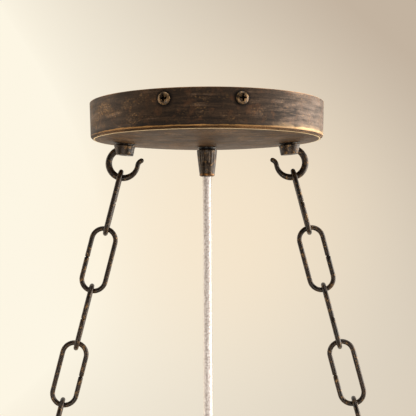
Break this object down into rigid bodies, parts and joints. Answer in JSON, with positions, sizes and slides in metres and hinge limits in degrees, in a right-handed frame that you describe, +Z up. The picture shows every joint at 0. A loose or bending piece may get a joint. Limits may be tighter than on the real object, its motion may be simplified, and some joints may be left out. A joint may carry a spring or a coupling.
{
  "type": "wagon wheel chandelier",
  "caption": "Chandelier with a wooden spoked wheel, iron tyre and candle lamps, hung by splayed chains and a clear cord from a round aged-bronze canopy.",
  "frame": {"origin": "centre of the canopy's top rim, in the ceiling plane, midway between the ceiling screw slots", "axes": "+Z up into the ceiling, +X through the right hook and right eye bolt, +Y away from the viewer of the picture"},
  "size_m": [0.6061, 0.6364, 1.0346],
  "materials": {
    "zinc_plated_steel": "zinc-plated satin",
    "green_earth_screw": "satin paint",
    "white_plastic": "matte",
    "wire_insulation": "satin",
    "aged_bronze_sheet": "rubbed, brushed aged bronze",
    "dark_bronze_iron": "dark bronze over iron, flecked with gold",
    "wheel_iron": "hammered, dark bronze",
    "aged_wood": "stained and waxed, worn at the edges",
    "black_nylon": "gloss",
    "black_plastic": "moulded, satin",
    "clear_sheath": "clear soft sheath",
    "woven_braid": "woven silver-grey",
    "candle_ivory": "wax-like ivory",
    "brass": "bright"
  },
  "bodies": {
    "canopy": {"ceiling_crossbar": "zinc_plated_steel", "earth_screw": "green_earth_screw", "terminal_block": "white_plastic", "terminal_wires": "wire_insulation", "canopy_shell": "aged_bronze_sheet", "canopy_side_screws": "dark_bronze_iron", "left_hook": "dark_bronze_iron", "right_hook": "dark_bronze_iron", "hook_collars": "dark_bronze_iron", "hook_nuts": "zinc_plated_steel", "cord_grip_nipple": "black_nylon", "cord_grip_body": "dark_bronze_iron", "cord_grip_lock_nut": "zinc_plated_steel"},
    "top_links": {"left_top_link": "dark_bronze_iron", "right_top_link": "dark_bronze_iron", "cord_sheath": "clear_sheath", "cord_core": "woven_braid"},
    "left_chain": {"left_chain_links": "dark_bronze_iron"},
    "right_chain": {"right_chain_links": "dark_bronze_iron"},
    "bottom_links": {"left_bottom_link": "dark_bronze_iron", "right_bottom_link": "dark_bronze_iron"},
    "wheel": {"left_eye_bolt": "dark_bronze_iron", "right_eye_bolt": "dark_bronze_iron", "eye_collars": "dark_bronze_iron", "eye_nuts": "dark_bronze_iron", "rim_half_left": "aged_wood", "rim_half_right": "aged_wood", "rim_joint_plates": "wheel_iron", "rim_joint_screws": "wheel_iron", "tyre_band": "wheel_iron", "tyre_rivets": "wheel_iron", "spoke_01": "aged_wood", "spoke_02": "aged_wood", "spoke_03": "aged_wood", "spoke_04": "aged_wood", "spoke_05": "aged_wood", "spoke_06": "aged_wood", "spoke_07": "aged_wood", "spoke_08": "aged_wood", "spoke_09": "aged_wood", "spoke_10": "aged_wood", "spoke_11": "aged_wood", "spoke_12": "aged_wood", "nave": "aged_wood", "nave_top_band": "wheel_iron", "nave_bottom_band": "wheel_iron", "hub_cover": "aged_bronze_sheet", "hub_cover_screws": "dark_bronze_iron", "hub_cord_grip": "dark_bronze_iron", "junction_block": "white_plastic", "finial": "dark_bronze_iron", "lamp_nipples": "zinc_plated_steel", "lamp_lock_nuts": "dark_bronze_iron", "drip_pans": "aged_bronze_sheet", "candle_cups": "aged_bronze_sheet", "candle_sleeves": "candle_ivory", "lamp_holders": "black_plastic", "screw_shells": "brass", "centre_contacts": "brass", "lamp_wires": "wire_insulation"}
  },
  "joints": [
    {"name": "swing_front_back", "type": "hinge", "parent": "canopy", "child": "top_links", "pos_m": [0, 0, -0.0435], "axis": [1, 0, 0], "range_deg": [-12, 12]},
    {"name": "swing_sideways", "type": "hinge", "parent": "top_links", "child": "bottom_links", "pos_m": [0, 0, 0.16025], "axis": [0, 1, 0], "range_deg": [-4, 4], "deforming": ["cord_sheath", "cord_core"]},
    {"name": "left_chain_tilt", "type": "hinge", "parent": "top_links", "child": "left_chain", "pos_m": [-0.06218, 0, -0.0776], "axis": [0, 1, 0], "range_deg": [-5.7, 5.7]},
    {"name": "right_chain_tilt", "type": "hinge", "parent": "top_links", "child": "right_chain", "pos_m": [0.06218, 0, -0.0776], "axis": [0, 1, 0], "range_deg": [-5.7, 5.7]},
    {"name": "wheel_rock", "type": "hinge", "parent": "bottom_links", "child": "wheel", "pos_m": [0, 0, -0.90683], "axis": [1, 0, 0], "range_deg": [-10, 10], "deforming": ["cord_sheath", "cord_core"]}
  ],
  "couplings": [
    {"joint": "left_chain_tilt", "follows": "swing_sideways", "ratio": 1.2991},
    {"joint": "right_chain_tilt", "follows": "swing_sideways", "ratio": 1.2991}
  ]
}
